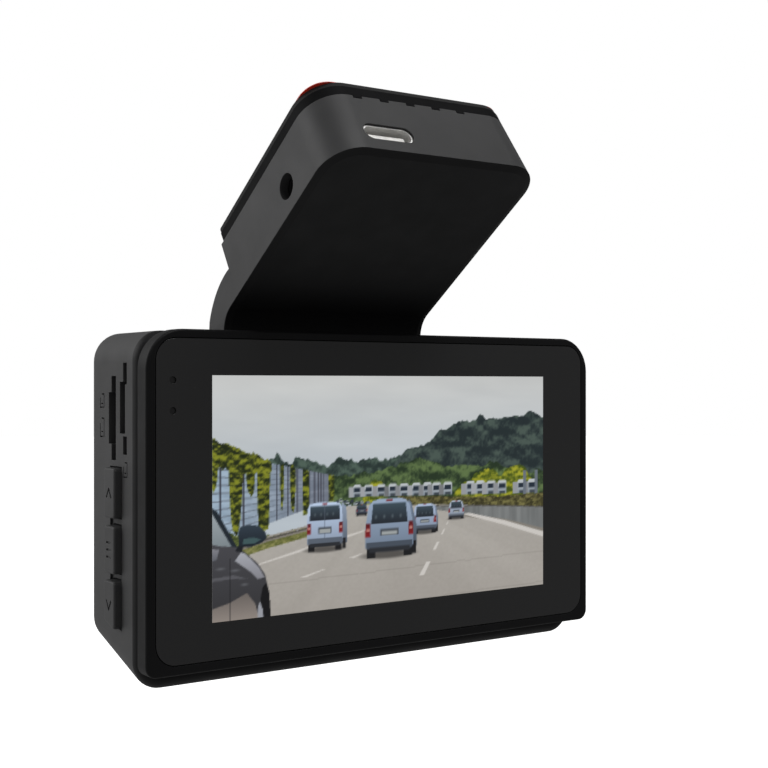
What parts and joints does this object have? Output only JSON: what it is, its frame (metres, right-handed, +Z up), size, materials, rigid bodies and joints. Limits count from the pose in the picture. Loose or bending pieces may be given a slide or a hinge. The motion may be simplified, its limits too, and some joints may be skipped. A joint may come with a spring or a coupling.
{
  "type": "dash camera",
  "caption": "Windscreen dash camera with a rear display, side buttons and card slots, on a tilting adhesive mount",
  "frame": {"origin": "centre of the mount pad's outer face, where it meets the windscreen", "axes": "+Z up, +Y forward through the windscreen along the lens's view, +X to the driver's right"},
  "size_m": [0.0889, 0.0572, 0.0901],
  "materials": {
    "case_plastic": "fine satin texture, dark grey",
    "cover_plastic": "satin black",
    "button_plastic": "fine satin, dark grey",
    "cover_glass": "black printed border, clear window",
    "display_face": "lit picture",
    "white_tray": "moulded white",
    "light_pipe": "clear, unlit",
    "steel": "drawn or turned",
    "contact_metal": "plated",
    "port_steel": "drawn, bright nickel plate",
    "screw_steel": "black oxide",
    "board_green": "solder mask",
    "chip_black": "moulded package",
    "thermal_grey": "soft",
    "aluminium": "die cast",
    "flex_amber": "polyimide film",
    "connector_ivory": "moulded",
    "cell_sleeve": "shrink sleeve",
    "soft_black": "foam or rubber",
    "lens_glass": "coated",
    "lens_metal": "black anodised",
    "sensor_dark": "sensor cover",
    "mount_plastic": "fine satin, dark grey",
    "mount_cover_plastic": "satin, near black",
    "plate_plastic": "satin black",
    "pad_foam": "acrylic foam",
    "liner_red": "release film",
    "ceramic": "fired patch",
    "silver_ink": "printed"
  },
  "bodies": {
    "mount": {"mount_shell": "mount_plastic", "mount_bottom_cover": "mount_cover_plastic", "windscreen_plate": "plate_plastic", "adhesive_pad": "pad_foam", "release_liner": "liner_red", "mount_board": "board_green", "usb_c_shell": "port_steel", "usb_c_tongue": "contact_metal", "av_jack": "chip_black", "gps_antenna": "ceramic", "gps_element": "silver_ink", "power_regulator": "chip_black", "mount_screws": "screw_steel", "power_ribbon": "flex_amber"},
    "camera": {"housing": "case_plastic", "rear_cover": "cover_plastic", "cover_glass": "cover_glass", "display_panel": "display_face", "display_backlight": "white_tray", "display_cable": "flex_amber", "status_lights": "light_pipe", "case_screws": "screw_steel", "main_board": "board_green", "display_connector": "connector_ivory", "processor": "chip_black", "thermal_pad": "thermal_grey", "heat_sink": "aluminium", "memory_chips": "chip_black", "cellular_modem": "steel", "cellular_antenna": "flex_amber", "wifi_antenna": "ceramic", "sim_card_reader": "chip_black", "memory_card_reader": "chip_black", "button_switches": "chip_black", "backup_cells": "cell_sleeve", "speaker": "screw_steel", "speaker_gasket": "soft_black", "microphone": "steel", "board_screws": "steel", "sensor_board": "board_green", "image_sensor": "sensor_dark", "infrared_filter": "lens_glass", "lens_holder": "chip_black", "sensor_screws": "steel", "lens_barrel": "lens_metal", "inner_lenses": "lens_glass", "front_lens": "lens_glass", "lens_ring": "lens_metal", "hinge_shaft": "steel", "friction_washers": "steel"},
    "up_button": {"up_button": "button_plastic"},
    "menu_button": {"menu_button": "button_plastic"},
    "down_button": {"down_button": "button_plastic"}
  },
  "joints": [
    {"name": "tilt", "type": "hinge", "parent": "mount", "child": "camera", "pos_m": [0, 0.01342, -0.03074], "axis": [1, 0, 0], "range_deg": [-15, 30]},
    {"name": "up_press", "type": "slide", "parent": "camera", "child": "up_button", "axis": [1, 0, 0], "range_m": [0, 0.0004], "stiffness_N_per_m": 800, "springref_m": -0.0006},
    {"name": "menu_press", "type": "slide", "parent": "camera", "child": "menu_button", "axis": [1, 0, 0], "range_m": [0, 0.0004], "stiffness_N_per_m": 800, "springref_m": -0.0006},
    {"name": "down_press", "type": "slide", "parent": "camera", "child": "down_button", "axis": [1, 0, 0], "range_m": [0, 0.0004], "stiffness_N_per_m": 800, "springref_m": -0.0006}
  ]
}
